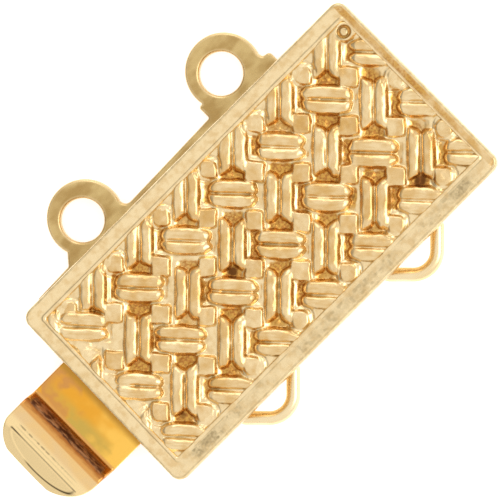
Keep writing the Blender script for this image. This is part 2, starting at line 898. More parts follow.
@dataclass
class Cover:
    """Cast cover: a bevelled frame round a sunk field with the raised basket weave.

    Attributes:
        corner_r: Radius of the cover's corners, seen from above.
        frame_x: Width of the frame at the tab end and at the far end.
        frame_y: Width of the frame on the loop side and on the ring side.
        inner_r: Radius of the frame's inner corners.
        lean: How far the corner over the tab, on the ring side, leans in along X.
        bevel_w: Width of the frame's rounded bevel.
        bevel_h: Height of that bevel.
        band: Share of the frame's width that its flat band takes.
        groove: Middle and width of the dark line inwards of that band, in the same shares.
        proud: How far the highest crests stand over the frame.
        pitch: Distance between like pairs of strands along and across the box.
        weave_at: Place of one pair along and across the box.
        slant: How far the pattern leans towards +X for each millimetre across the box.
        families: The two directions of strands.
        strand_w: Width of a strand.
        strand_gap: Distance between the two strands of a pair.
        crown: How far a crest falls from its middle to its sides.
        shoulders: Width of the rounding round a strand's crest and round a square.
        pit_half: Half the length and half the width of the pit before each end of a pair.
        dot_w: Side of the small squares between four pairs.
        depth: Depth of the pits below the frame.
        web: Depth of the web between strands and squares below the frame.
        rivet_r: Radius of the groove round the small rivet head.
        rivet_at: Place of the rivet head.
        rubbed: Stretches of the loop side's border, along the box, whose plating is worn most.
        strays: Pairs that were set off the pattern, as ((direction, column, row), shift).
        stains: Dark spots of residue, as (along the box, across the box, reach, darkness).
        seed: Seed of what differs from strand to strand.
        lots: Number of cells after which the random numbers come back.
    """

    # Size of the blotches on what isn't a strand
    BLOTCH = 0.35

    corner_r: float = 0.5
    frame_x: Pair = (0.81, 0.56)
    frame_y: Pair = (0.94, 0.86)
    inner_r: float = 0.10
    lean: float = 0.17
    bevel_w: float = 0.13
    bevel_h: float = 0.17
    band: float = 0.70
    groove: Pair = (0.755, 0.025)
    proud: float = 0.06
    pitch: Pair = (3.02, 3.10)
    weave_at: Pair = (-5.50, -0.76)
    slant: float = 0.027
    families: tuple[Strands, Strands] = (LYING, RISING)
    strand_w: float = 0.66
    strand_gap: float = 0.665
    crown: float = 0.115
    shoulders: Pair = (0.085, 0.075)
    pit_half: Pair = (0.40, 0.58)
    dot_w: float = 0.92
    depth: float = 0.46
    web: float = 0.29
    rivet_r: float = 0.25
    rivet_at: Pair = (9.27, 3.95)
    rubbed: tuple[Pair, ...] = ((-8.6, -4.2), (7.7, 9.0))
    strays: tuple[tuple[tuple[int, int, int], Pair], ...] = (
        ((0, -1, 1), (-0.08, 0.58)), ((0, 0, 0), (-0.20, 0.15)), ((0, 4, 0), (-0.14, -0.05)),
        ((1, 3, -1), (-0.04, -0.14)), ((1, -2, 0), (0.0, 0.20)), ((1, 0, 0), (0.05, -0.16)),
    )
    stains: tuple[tuple[float, float, float, float], ...] = (
        (7.15, -3.25, 0.42, 1.0), (4.50, -1.60, 0.34, 0.7),
        (-1.85, -0.10, 0.30, 0.9), (-7.90, -3.05, 0.30, 0.5),
    )
    seed: int = 11
    lots: int = 32

    def __post_init__(self) -> None:
        """Takes the outer sizes from the frame's own cover."""
        low, high = corner_mm("cover")
        self.low, self.high = low, high
        self.top = high[2] - self.proud
        self.inner_low = low[:2] + (self.frame_x[0], self.frame_y[0])
        self.inner_high = high[:2] - (self.frame_x[1], self.frame_y[1])
        self.turn = math.atan(self.pitch[1] / self.pitch[0])
        table = (self.lots, self.lots)
        self.luck = np.random.default_rng(self.seed).uniform(-1.0, 1.0, (*table, 12))
        self.moved = np.zeros((*table, 2))
        for (half, column, row), move in self.strays:
            self.moved[self.lot((half, half), column, row)] = move

    def lot(
        self, half: tuple[int, int], column: Array | int, row: Array | int
    ) -> tuple[Array | int, Array | int]:
        """Finds a cell's place in the tables of random numbers and of set shifts.

        Each of the four lattices starts at its own place, so that no two cells of the cover
        share one.

        Args:
            half: Shift of the cell's lattice along and across the box, in half steps.
            column: Number of the cell along the box.
            row: Number of the cell across the box.

        Returns:
            The two indices.
        """
        kind = 7 * half[0] + 13 * half[1]
        return (column + kind) % self.lots, (row + 2 * kind) % self.lots

    def leaned(self, x: Array, y: Array) -> Array:
        """Shifts x towards +X, in proportion to how near a point is to the leaning corner.

        Args:
            x: Place along the box.
            y: Place across the box.

        Returns:
            The shifted place along the box.
        """
        near_x = (self.high[0] - x) / (self.high[0] - self.low[0])
        near_y = (y - self.low[1]) / (self.high[1] - self.low[1])
        return x + self.lean * near_x * near_y

    def rectangle(self, low: Array, high: Array, radius: float, spacing: float) -> Array:
        """Gives a rounded rectangle whose sides and corners have a fixed share of points.

        Args:
            low: Lowest corner.
            high: Highest corner.
            radius: Radius of its corners.
            spacing: Spacing of the points that the outer frame would have.

        Returns:
            Points anticlockwise from the lower right corner, of shape (n, 2).
        """
        bend = 14
        middles = [
            (high[0] - radius, low[1] + radius), (high[0] - radius, high[1] - radius),
            (low[0] + radius, high[1] - radius), (low[0] + radius, low[1] + radius),
        ]
        spans = [self.high[1] - self.low[1], self.high[0] - self.low[0]] * 2
        made = []
        for k, middle in enumerate(middles):
            corner = arc(middle, radius, 90.0 * k - 90.0, 90.0 * k, bend)
            after = arc(middles[(k + 1) % 4], radius, 90.0 * k, 90.0 * k, 1)
            count = round(spans[k] / spacing)
            share = np.linspace(0.0, 1.0, count + 1)[1:-1, None]
            made += [corner, corner[-1:] * (1.0 - share) + after * share]
        return np.concatenate(made)

    def frame_section(self) -> Array:
        """Lists the frame's section from its foot inside, under, up the outer wall and back.

        Returns:
            Rows of (share of the frame's width, distance added to it, height, wear).
        """
        top, foot = self.top, self.low[2]
        wall = np.linspace(foot + 0.03, top - self.bevel_h, 7)
        bevel = np.radians(np.linspace(0.0, 90.0, 7))[1:]
        band = np.linspace(0.0, 1.0, 19)[1:]
        # The bevel ends a hair under the top, and the band bows up from there
        under, bow = 0.025, 0.020
        bevel_in, bevel_up = self.bevel_w * (1.0 - np.cos(bevel)), (self.bevel_h - under) * np.sin(bevel)
        bowed = bow * np.sin(math.pi * band)
        rows = [(1.0, 0.03, foot, 0.0), (0.5, 0.0, foot, 0.0), (0.0, 0.03, foot, 0.0)]
        rows += [(0.0, 0.0, z, 0.2) for z in wall]
        rows += [(0.0, x, top - self.bevel_h + up, 0.6) for x, up in zip(bevel_in, bevel_up)]
        rows += [
            (self.band * t, self.bevel_w - self.bevel_w * t, top - under + up, 1.0)
            for t, up in zip(band, bowed)
        ]
        rows += [
            (0.73, 0.0, top - 0.040, 0.8), (0.76, 0.0, top - 0.048, 0.6), (0.79, 0.0, top - 0.022, 0.6),
            (0.82, 0.0, top - 0.002, 0.6), (0.87, 0.0, top + 0.008, 0.6), (0.93, 0.0, top - 0.002, 0.6),
            (0.97, 0.0, top - 0.030, 0.5), (1.0, 0.0, top - 0.09, 0.3), (1.0, 0.012, top - 0.25, 0.2),
            (1.0, 0.03, top - 0.45, 0.0), (1.0, 0.03, top - 0.8, 0.0),
        ]
        return np.array(rows)

    def frame_wear(self, x: Array, y: Array) -> tuple[Array, Array]:
        """Gives where the frame's top is rubbed, and the specks of plating that it lost there.

        Wear keeps to a band on the loop side. It comes in patches, and most of it lies along the
        stretches that are listed.

        Args:
            x: Place along the box.
            y: Place across the box.

        Returns:
            Both as numbers from 0 to about 1.
        """
        from_low = y - self.low[1]
        band = ease(0.12, 0.26, from_low) * ease(0.74, 0.64, from_low)
        patches = ease(-0.6, 0.4, value_noise(x, y, 1.6, 6) + 0.5 * value_noise(x, y, 0.5, 7))
        zone = sum(
            ease(low - 0.5, low + 0.2, x) * ease(high + 0.5, high - 0.2, x) for low, high in self.rubbed
        )
        worn = band * (0.25 + 0.75 * patches) * (0.4 + 0.6 * zone)
        return worn, 0.8 * worn * ease(0.15, 0.5, value_noise(x, y, 0.17, 9)) * patches

    def frame_sunk(self, x: Array, y: Array, worn: Array, ragged: Array) -> Array:
        """Gives how far polishing and wear have lowered the frame's top.

        It is the sum of long waves, dents that are deeper where the top is rubbed, grit, and a
        ledge that slopes to the edge on the loop side.

        Args:
            x: Place along the box.
            y: Place across the box.
            worn: How much the top is rubbed.
            ragged: Noise of the outline, which is taken for the grit too.

        Returns:
            Depths below the plain top.
        """
        from_low = y - self.low[1]
        ledge = 0.07 * np.clip((0.34 - from_low) / 0.34, 0.0, 1.0) + 0.012 * ease(0.35, 0.31, from_low)
        waves = value_noise(x, y, 2.1, 3) * 0.010 + value_noise(x, y, 0.8, 4) * 0.006
        dents = (0.12 + worn) * 0.006 * value_noise(x, y, 0.22, 5)
        return 0.010 + np.abs(waves) + 0.004 * ragged + np.abs(dents) + ledge

    def frame_shell(self) -> Shell:
        """Carries the frame's section round the cover.

        A point of the section lies at outer + direction * (share * width + distance), where
        direction and width lead from the outer outline to the matching point of the inner one.

        Returns:
            The closed frame, with what its finish reads.
        """
        spacing = 0.06
        outer = self.rectangle(self.low[:2], self.high[:2], self.corner_r, spacing)
        inner = self.rectangle(self.inner_low, self.inner_high, self.inner_r, spacing)
        across = inner - outer
        width = np.linalg.norm(across, axis=1)
        share, added, height, wear = self.frame_section().T
        inwards = share[None] * width[:, None] + added[None]
        plan = outer[:, None] + (across / width[:, None])[:, None] * inwards[:, :, None]
        x, y = plan[..., 0], plan[..., 1]
        ragged = value_noise(x, y, 0.5, 1) + 0.7 * value_noise(x, y, 0.19, 2)
        on_band = wear > 0.9
        worn, specks = (value * on_band for value in self.frame_wear(x, y))
        z = np.broadcast_to(height, x.shape) - wear * self.frame_sunk(x, y, worn, ragged)
        from_high = self.high[0] - x
        # The outer edge is drawn in unevenly, by two hundredths of a millimetre at most
        shift = np.minimum(wear, 0.5) * 0.010 * (ragged + 1.7) * (share < 0.5)
        x = x + shift * (across / width[:, None])[:, None, 0]
        y = y + shift * (across / width[:, None])[:, None, 1]
        points = np.stack([self.leaned(x, y), y, z], axis=2)
        grain = np.stack([*self.blotches(x, y), z / self.BLOTCH], axis=2)
        count, around = x.shape
        # Dark: down the inner wall, along the line beside the band, and where plating is lost
        groove = np.clip((self.top - 0.03 - height) / 0.30, 0.0, 0.9) * (share == 1.0)
        filth = value_noise(x, y, 0.9, 12) + 0.5 * value_noise(x, y, 0.3, 13)
        drawn = 0.12 + 0.40 * ease(-0.2, 0.5, filth)
        groove = np.maximum(groove[None], drawn * bell(share - self.groove[0], self.groove[1]))
        groove = np.maximum(groove, specks)
        # Amber: a strip of old lacquer at the far end. Greyed: the outer wall and the bevel
        lacquer = ease(0.10, 0.17, from_high) * ease(0.50, 0.40, from_high) * (wear > 0.7)
        lacquer = lacquer * (0.44 + 0.16 * value_noise(x, y, 1.1, 8))
        worn = np.maximum(worn, 0.5 * (wear < 0.9) * (share == 0.0))
        values = {
            "hollow": lacquer.ravel(),
            "seam": groove.ravel(),
            "grain": grain.reshape(-1, 3),
            "worn": worn.ravel(),
        }
        return Shell(points.reshape(-1, 3), [grid_faces(count, around, True, True)[:, ::-1]], values)

    def in_cell(
        self, x: Array, y: Array, half: tuple[int, int], turn: float, shift: Pair = (0.0, 0.0)
    ) -> tuple[Array, Array, Array]:
        """Finds the nearest cell of the weave's lattice and the place in it.

        Args:
            x: Place along the box.
            y: Place across the box.
            half: Shift of the lattice along and across the box, in half steps.
            turn: Direction of the cell's own first axis, in radians.
            shift: Further shift of the lattice, in mm.

        Returns:
            The place along and across the cell's axes, and the cell's own random numbers.
        """
        gx = (x - self.weave_at[0] - shift[0]) / self.pitch[0] - half[0] / 2.0
        gy = (y - self.weave_at[1] - shift[1]) / self.pitch[1] - half[1] / 2.0
        i, j = np.rint(gx), np.rint(gy)
        lot = self.lot(half, i.astype(int), j.astype(int))
        moved, luck = self.moved[lot], self.luck[lot]
        dx = (gx - i) * self.pitch[0] - moved[..., 0]
        dy = (gy - j) * self.pitch[1] - moved[..., 1]
        cos, sin = math.cos(turn), math.sin(turn)
        return dx * cos + dy * sin, dy * cos - dx * sin, luck

    @staticmethod
    def inside(u: Array, v: Array, half_u: Array | float, half_v: Array | float, corner: float) -> Array:
        """Gives the distance inside a rounded rectangle, which is negative outside it.

        Args:
            u: Place along its first axis.
            v: Place along its second axis.
            half_u: Half its length.
            half_v: Half its width.
            corner: Radius of its corners.

        Returns:
            Radius minus the length by which the point passes the rectangle's shrunk core.
        """
        past_u, past_v = np.abs(u) - half_u + corner, np.abs(v) - half_v + corner
        beyond = np.hypot(np.maximum(past_u, 0.0), np.maximum(past_v, 0.0))
        return corner - beyond - np.minimum(np.maximum(past_u, past_v), 0.0)

    @staticmethod
    def shoulder(distance: Array, width: float) -> Array:
        """Rises from 0 at an edge to 1 at a distance inside it, along a quarter circle."""
        t = np.clip(distance / width, 0.0, 1.0)
        return np.sqrt(1.0 - (1.0 - t) ** 2)

    def strand(
        self, kind: Strands, u: Array, v: Array, side: float, luck: Array, ragged: Array
    ) -> tuple[Array, Array]:
        """Gives the height of one strand's crest above the pits.

        The top is the crest's height less a slow fall that grows with the square of the way to
        its ends, less a facet over its last quarter, less a crown that grows with the square of
        the way to its sides. It is scaled down to nothing over a quarter-circle shoulder.

        Args:
            kind: Direction of the strand.
            u: Place along the pair.
            v: Place across the pair.
            side: Side of the pair that the strand lies on, as -1 or 1.
            luck: Random numbers of shape (..., 5).
            ragged: Noise that makes the outline uneven.

        Returns:
            Heights over the pits, and the place across the strand.
        """
        half_len = kind.length / 2.0 * (1.0 + 0.035 * luck[..., 0])
        half_len = half_len - kind.notch * np.clip(1.0 - np.abs(v) / self.strand_w, 0.0, 1.0) + 0.05 * ragged
        share = np.abs(u / half_len)
        drawn = kind.taper * np.minimum(share, 1.0) ** 3
        half_wid = self.strand_w / 2.0 * (1.0 + 0.05 * luck[..., 1]) * (1.0 - 0.6 * drawn)
        middle = side * self.strand_gap / 2.0 * (1.0 - drawn) + 0.02 * luck[..., 2]
        across = v - middle - 0.04 * luck[..., 3] * share**2
        facet = (0.15 + 0.04 * luck[..., 4]) * ease(0.70, 1.02, share)
        fall = (0.05 + 0.03 * luck[..., 1]) * share**2 + facet
        crown = self.crown * (across / half_wid) ** 2
        rise = self.depth + 0.03 + 0.02 * luck[..., 4] - fall - crown + 0.06 * luck[..., 0] * across
        edge = self.inside(u, across, half_len, half_wid, kind.corner) + 0.022 * ragged
        return rise * self.shoulder(edge, self.shoulders[0]), across

    @classmethod
    def blotches(cls, x: Array, y: Array) -> tuple[Array, Array]:
        """Stretches a plan so that the streaks' noise comes out as even blotches."""
        return x * 0.60 / cls.BLOTCH, y * 0.12 / cls.BLOTCH

    def border(self, x: Array, y: Array) -> Array:
        """Gives the distance of a point inside the field from its nearest edge.

        Args:
            x: Place along the box.
            y: Place across the box.

        Returns:
            The distance, which is negative outside the field.
        """
        along = np.minimum(x - self.inner_low[0], self.inner_high[0] - x)
        across = np.minimum(y - self.inner_low[1], self.inner_high[1] - y)
        return np.minimum(along, across)

    def web_height(self, x: Array, y: Array) -> tuple[Array, Array]:
        """Gives the height of the web between the strands, and the residue in its pits.

        The web lies at one depth and rises a little towards the frame. A pit with a rough
        bottom is sunk in it before each end of a pair.

        Args:
            x: Place along the box.
            y: Place across the box.

        Returns:
            Heights over the bottom of the pits, and the share of residue.
        """
        rough = 0.05 * value_noise(x, y, 0.30, 21) + 0.04 * value_noise(x, y, 0.12, 22)
        height = self.depth - self.web + 0.14 * ease(0.9, 0.2, self.border(x, y)) + 0.3 * rough
        residue, sunk = 0.0 * x, 0.0 * x
        for kind in self.families:
            u, v, luck = self.in_cell(x, y, (kind.half, kind.half), kind.sign * self.turn, kind.shift)
            end = np.abs(u) - kind.length / 2.0 + 0.12 + 0.05 * luck[..., 8]
            half_u, half_v = self.pit_half[0], self.pit_half[1] + 0.07 * luck[..., 7]
            pit = self.inside(end, v + 0.05 * luck[..., 9], half_u, half_v, 0.16)
            pit = ease(-0.03, 0.17, pit + 0.9 * rough) * ease(0.1, 1.1, self.border(x, y))
            much = np.where(u < 0.0, kind.pits[0], kind.pits[1]) * (1.0 + 0.35 * luck[..., 6])
            deep = np.clip(0.35 + 0.65 * much, 0.0, 1.0)
            height = height * (1.0 - pit * deep) + (0.04 + rough) * pit * deep
            residue = np.maximum(residue, pit * np.clip(much, 0.0, 1.0))
            sunk = np.maximum(sunk, pit)
        for at_x, at_y, reach, dark in self.stains:
            spot = np.exp(-(((x - at_x) ** 2 + (y - at_y) ** 2) / reach**2))
            residue = residue + 1.6 * dark * sunk * spot
        return height, residue

    def weave_height(self, x: Array, y: Array) -> tuple[Array, Array, Array]:
        """Gives the weave's height over the pits, the grain's coordinates and the residue.

        Args:
            x: Place along the box.
            y: Place across the box.

        Returns:
            Heights of the highest of web, strands, squares and rivet, then for each point the
            place along and across its strand with a third number that differs by strand, then
            the share of residue.
        """
        height, residue = self.web_height(x, y)
        grain = np.stack([*self.blotches(x, y), 0.0 * x], axis=-1)
        ragged = value_noise(x, y, 0.26, 33)
        for kind in self.families:
            u, v, luck = self.in_cell(x, y, (kind.half, kind.half), kind.sign * self.turn, kind.shift)
            for side, first in ((-1.0, 0), (1.0, 5)):
                own = luck[..., first:first + 5]
                crest, across = self.strand(kind, u, v, side, own, ragged)
                mine = (crest > height)[..., None]
                lane = np.stack([u + 3.0 * own[..., 0], across + luck[..., 10], 9.0 * own[..., 0]], axis=-1)
                grain = np.where(mine, lane, grain)
                residue = np.where(crest > height + 0.05, 0.27 + 0.08 * own[..., 3], residue)
                height = np.maximum(height, crest)
        # Squares. Those beside the frame are smaller and rounder, with a narrow moat round them
        near = ease(1.0, 0.6, self.border(x, y))
        for half in ((0, 1), (1, 0)):
            u, v, luck = self.in_cell(x, y, half, self.turn, (-0.05, 0.03))
            u, v = u + 0.03 * luck[..., 5] + 0.10 * luck[..., 7] * v, v + 0.03 * luck[..., 6]
            side = self.dot_w / 2.0 * (1.0 - 0.08 * near)
            reach = self.inside(u, v, side, side * (1.0 + 0.06 * luck[..., 1]), 0.14 + 0.2 * near)
            reach = reach + 0.03 * ragged
            tilt = 0.14 * luck[..., 2] * u + 0.14 * luck[..., 3] * v
            height = height - 0.10 * near * bell(reach + 0.17, 0.04)
            top = self.depth - 0.08 + 0.04 * luck[..., 4] + tilt
            dot = top * self.shoulder(reach, self.shoulders[1])
            residue = np.where(dot > height + 0.04, 0.32 + 0.08 * luck[..., 8], residue)
            height = np.maximum(height, dot)
        # Rivet head: a flat with a ring-shaped groove in it
        away = np.hypot(x - self.rivet_at[0], y - self.rivet_at[1])
        ring = bell(away - self.rivet_r, 0.05)
        flat = ease(0.50, 0.38, away)
        head = self.depth - 0.01 - 0.17 * ring
        height = height * (1.0 - flat) + head * flat
        return height, grain, residue * (1.0 - flat) + 0.9 * ring

    @staticmethod
    def softened(height: Array, passes: int) -> Array:
        """Blurs a grid of heights.

        Each pass takes half a point and a quarter of each neighbour, along the rows and then
        along the columns.

        Args:
            height: Heights of shape (rows, columns).
            passes: Number of passes.

        Returns:
            Heights of the same shape.
        """
        for _ in range(passes):
            for axis in (0, 1):
                before = np.roll(height, 1, axis)
                after = np.roll(height, -1, axis)
                height = 0.5 * height + 0.25 * (before + after)
        return height

    def weave_grid(self, low: Array, high: Array, steps: int = 50) -> tuple[Array, Array]:
        """Lays a grid over the field whose lines run along the two directions of the strands.

        Args:
            low: Lowest corner of the field.
            high: Highest corner of the field.
            steps: Number of grid cells to half a step of the pattern.

        Returns:
            Places along and across the box, a little past the field on all sides.
        """
        corners = np.array([(x, y) for x in (low[0], high[0]) for y in (low[1], high[1])])
        share = (corners - self.weave_at) / self.pitch * steps
        reach_a, reach_b = share.sum(axis=1), share[:, 0] - share[:, 1]
        a = np.arange(math.floor(reach_a.min()) - 1, math.ceil(reach_a.max()) + 2)[:, None]
        b = np.arange(math.floor(reach_b.min()) - 1, math.ceil(reach_b.max()) + 2)[None, :]
        x = self.weave_at[0] + self.pitch[0] * (a + b) / (2.0 * steps)
        return x, self.weave_at[1] + self.pitch[1] * (a - b) / (2.0 * steps)

    def weave_shell(self) -> Shell:
        """Makes the field as a slab whose top is the weave's height on a slanted grid.

        What lies outside the field is drawn in to its edge, walls drop from that edge to the
        underside, and the underside is a fan about the middle. A point is as dark as it lies
        deep below the average of its surroundings.

        Returns:
            The closed slab, with what its finish reads.
        """
        hidden = 0.04
        low, high = self.inner_low - hidden, self.inner_high + hidden
        x, y = self.weave_grid(low, high)
        height, grain, residue = self.weave_height(x - self.slant * y, y)
        wide = self.softened(height, 6)
        height = self.softened(height, 1)
        height = height + (0.022 * value_noise(x, y, 0.36, 31) + 0.010 * value_noise(x, y, 0.17, 32))
        seam = np.clip(7.0 * (wide - height) - 0.12, 0.0, 0.85) * (1.0 - 0.7 * np.clip(residue, 0.0, 1.0))
        away = np.hypot(x - self.rivet_at[0], y - self.rivet_at[1])
        seam = np.maximum(seam, 0.8 * bell(away - self.rivet_r, 0.045))
        z = np.minimum(self.top - self.depth + height, self.high[2])

        # Only cells that touch the field are kept
        within = (x > low[0]) & (x < high[0]) & (y > low[1]) & (y < high[1])
        quads = grid_faces(*x.shape)
        used = within.ravel()[quads].any(axis=1)
        quads = quads[used]
        kept, quads = np.unique(quads, return_inverse=True)
        quads = quads.reshape(-1, 4)
        x = np.clip(x.ravel()[kept], low[0], high[0])
        y = np.clip(y.ravel()[kept], low[1], high[1])
        top = np.stack([self.leaned(x, y), y, z.ravel()[kept]], axis=1)

        # The rim is every side of a cell that no other cell shares
        edges = np.concatenate([quads[:, [k, (k + 1) % 4]] for k in range(4)])
        key = edges.min(axis=1) * len(kept) + edges.max(axis=1)
        _, first, count = np.unique(key, return_index=True, return_counts=True)
        rim = edges[first[count == 1]]
        rim_points, rim_index = np.unique(rim, return_inverse=True)
        rim_index = rim_index.reshape(-1, 2) + len(kept)
        under = top[rim_points] * (1.0, 1.0, 0.0) + (0.0, 0.0, self.low[2])
        middle = np.array([[0.0, 0.0, self.low[2]]])
        walls = np.stack([rim[:, 1], rim[:, 0], rim_index[:, 0], rim_index[:, 1]], axis=1)
        centre = np.full(len(rim), len(kept) + len(under))
        fan = np.stack([rim_index[:, 1], rim_index[:, 0], centre], axis=1)

        def with_under(value: Array) -> Array:
            """Adds the underside's points, which take zeros, to a value of the top's points."""
            blank = np.zeros((len(under) + 1, *value.shape[1:]))
            return np.concatenate([value, blank])

        values = {
            "hollow": with_under(residue.ravel()[kept]),
            "seam": with_under(seam.ravel()[kept]),
            "grain": with_under(grain.reshape(-1, 3)[kept]),
            "worn": with_under(0.0 * x),
        }
        return Shell(np.concatenate([top, under, middle]), [quads, walls, fan], values)

    def build(self) -> Pieces:
        """Makes the frame and the woven field."""
        return [self.frame_shell().build("cover_frame"), self.weave_shell().build("cover_weave")]

    def dress(self, pieces: Pieces) -> None:
        """Gives the cover its finish and places it on the box."""
        attach(pieces, CastGilt().material(), Body.BOX, "cover")


@dataclass
class Tray:
    """Sheet tray under the cover: its back, its wall with the tongue's slots, and two wire loops.

    Attributes:
        length: Length of the tray.
        width: Width of the tray.
        sheet: Thickness of its sheet.
        corner_r: Radius of its corners, seen from above.
        slot_top: Height of the slot that the tongue plate slides in.
        slot_reach: Where the side slot ends along the box.
        mouth_top: Height of the mouth that the spring leaf passes.
        mouth_w: Width of that mouth.
        loop_spacing: Distance between the two loops.
        loop_shift: Shift of both loops along the box.
        loop_z: Height of the loops' middle.
        wire: Thickness of the loop wire.
        bend_r: Inner radius of a loop's bend.
        loop_depth: Distance from the wall to the inside of that bend.
        loop_foot: Length of a loop's feet, where its arms are square to the wall.
        knee_r: Radius between a foot and its arm.
        solder: Share by which solder thickens the wire at the wall.
        solder_reach: Distance from the wall at which that has fallen to 0.37.
    """

    length: float = 19.8
    width: float = 9.2
    sheet: float = 0.4
    corner_r: float = 0.5
    slot_top: float = 1.06
    slot_reach: float = 7.7
    mouth_top: float = 2.02
    mouth_w: float = 5.42
    loop_spacing: float = 9.2
    loop_shift: float = -0.06
    loop_z: float = 1.5
    wire: float = 0.64
    bend_r: float = 0.77
    loop_depth: float = 1.24
    loop_foot: float = 0.42
    knee_r: float = 0.35
    solder: float = 0.35
    solder_reach: float = 0.12

    def outline(self, inset: float) -> Array:
        """Gives the tray's outline moved inwards, anticlockwise."""
        x, y, r = self.length / 2.0 - inset, self.width / 2.0 - inset, self.corner_r - inset
        return filleted([(-x, -y, r), (x, -y, r), (x, y, r), (-x, y, r)], closed=True, steps=10)

    def back_shell(self) -> Shell:
        """Makes the flat back with its rounded lower edge."""
        rim = respaced(self.outline(0.0), 0.2, closed=True)
        return plate([rim], edge_profile(0.0, self.sheet, 0.16, 0.03))

    def wall_foot(self, x: Array, y: Array) -> Array:
        """Gives the height of the wall's lower edge: on the back, over a slot or over the mouth.

        Args:
            x: Place along the box.
            y: Place across the box.

        Returns:
            The heights.
        """
        seam, blur = self.sheet - 0.02, 0.06
        off, on = 0.5, 0.4
        ring_side = ease(self.width / 2.0 - off, self.width / 2.0 - on, y)
        tab_side = ease(off - self.length / 2.0, on - self.length / 2.0, x)
        over_slot = ring_side * ease(self.slot_reach + blur, self.slot_reach, x)
        low_end = self.sheet - self.width / 2.0
        over_slot = np.maximum(over_slot, tab_side * ease(low_end - blur, low_end, y))
        half = self.mouth_w / 2.0
        over_mouth = tab_side * ease(half + blur, half, np.abs(y))
        foot = seam + (self.slot_top - seam) * over_slot
        return foot + (self.mouth_top - foot) * over_mouth

    def wall_shell(self) -> Shell:
        """Carries an upright section with rounded edges round the tray.

        Its foot follows the height of the wall's lower edge. Where that doesn't change, one point
        of the line in six is kept.

        Returns:
            The closed wall.
        """
        line = respaced(self.outline(self.sheet / 2.0), 0.03, closed=True)
        foot = self.wall_foot(line[:, 0], line[:, 1])
        changing = np.abs(foot - np.roll(foot, 1)) + np.abs(foot - np.roll(foot, -1)) > 1e-6
        keep = changing | (np.arange(len(line)) % 6 == 0)
        line, foot = line[keep], foot[keep]
        inwards = left_normals(line)
        low_z, high_z = foot[:, None], corner_mm("tray")[1][2]
        half, r = self.sheet / 2.0, 0.05
        quarter = arc((0.0, 0.0), r, 0.0, 90.0, 5)
        inner = np.stack([half - r + quarter[:, 0], quarter[:, 1] - r], axis=1)
        outer = inner[::-1] * (-1.0, 1.0)
        offset = np.concatenate([inner[:, 0], outer[:, 0], outer[::-1, 0], inner[::-1, 0]])
        drop = np.concatenate([inner[:, 1], outer[:, 1]])
        z = np.concatenate([high_z + drop + 0.0 * low_z, low_z - drop[::-1]], axis=1)
        plan = line[:, None] + inwards[:, None] * offset[None, :, None]
        points = np.concatenate([plan, z[:, :, None]], axis=2)
        faces = grid_faces(len(line), len(offset), True, True)
        return Shell(points.reshape(-1, 3), [faces])

    def loop_shell(self, middle_x: float) -> Shell:
        """Carries a round wire down a foot, along an arm at 45 degrees, round the bend and back.

        The bend is a quarter circle whose two tangents are the arms. The wire thickens where it
        meets the wall, as solder does, and ends inside the sheet.

        Args:
            middle_x: Place of the loop along the box.

        Returns:
            The closed wire.
        """
        radius = self.bend_r + self.wire / 2.0
        tip = self.bend_r - self.loop_depth - radius * math.sqrt(2.0)
        foot, ends = -self.loop_foot - tip, self.sheet / 2.0
        line = [
            (-foot, ends, 0.0), (-foot, -self.loop_foot, self.knee_r), (0.0, tip, radius),
            (foot, -self.loop_foot, self.knee_r), (foot, ends, 0.0),
        ]
        path = respaced(filleted(line, closed=False, steps=24), 0.05, closed=False)
        path = path + (middle_x + self.loop_shift, -self.width / 2.0)
        ahead = np.gradient(path, axis=0)
        ahead /= np.linalg.norm(ahead, axis=1, keepdims=True)
        side = np.stack([-ahead[:, 1], ahead[:, 0]], axis=1)
        depth = -self.width / 2.0 - path[:, 1]
        solder = self.solder * np.exp(-np.maximum(depth, 0.0) / self.solder_reach)
        thick = self.wire / 2.0 * (1.0 + solder)
        angle = np.radians(np.arange(0.0, 360.0, 15.0))
        out = thick[:, None] * np.cos(angle)
        plan = path[:, None] + side[:, None] * out[:, :, None]
        z = self.loop_z + thick[:, None] * np.sin(angle)
        return capped_tube(np.concatenate([plan, z[:, :, None]], axis=2))

    def build(self) -> Pieces:
        """Makes the back, the wall and both loops.

        Returns:
            The four pieces.
        """
        half = self.loop_spacing / 2.0
        return [
            self.back_shell().build("tray_back"),
            self.wall_shell().build("tray_wall"),
            self.loop_shell(-half).build("wire_loop_a"),
            self.loop_shell(half).build("wire_loop_b"),
        ]

    def dress(self, pieces: Pieces) -> None:
        """Gives the tray its finish and places it on the box."""
        attach(pieces, SheetGilt().material(), Body.BOX, "tray")


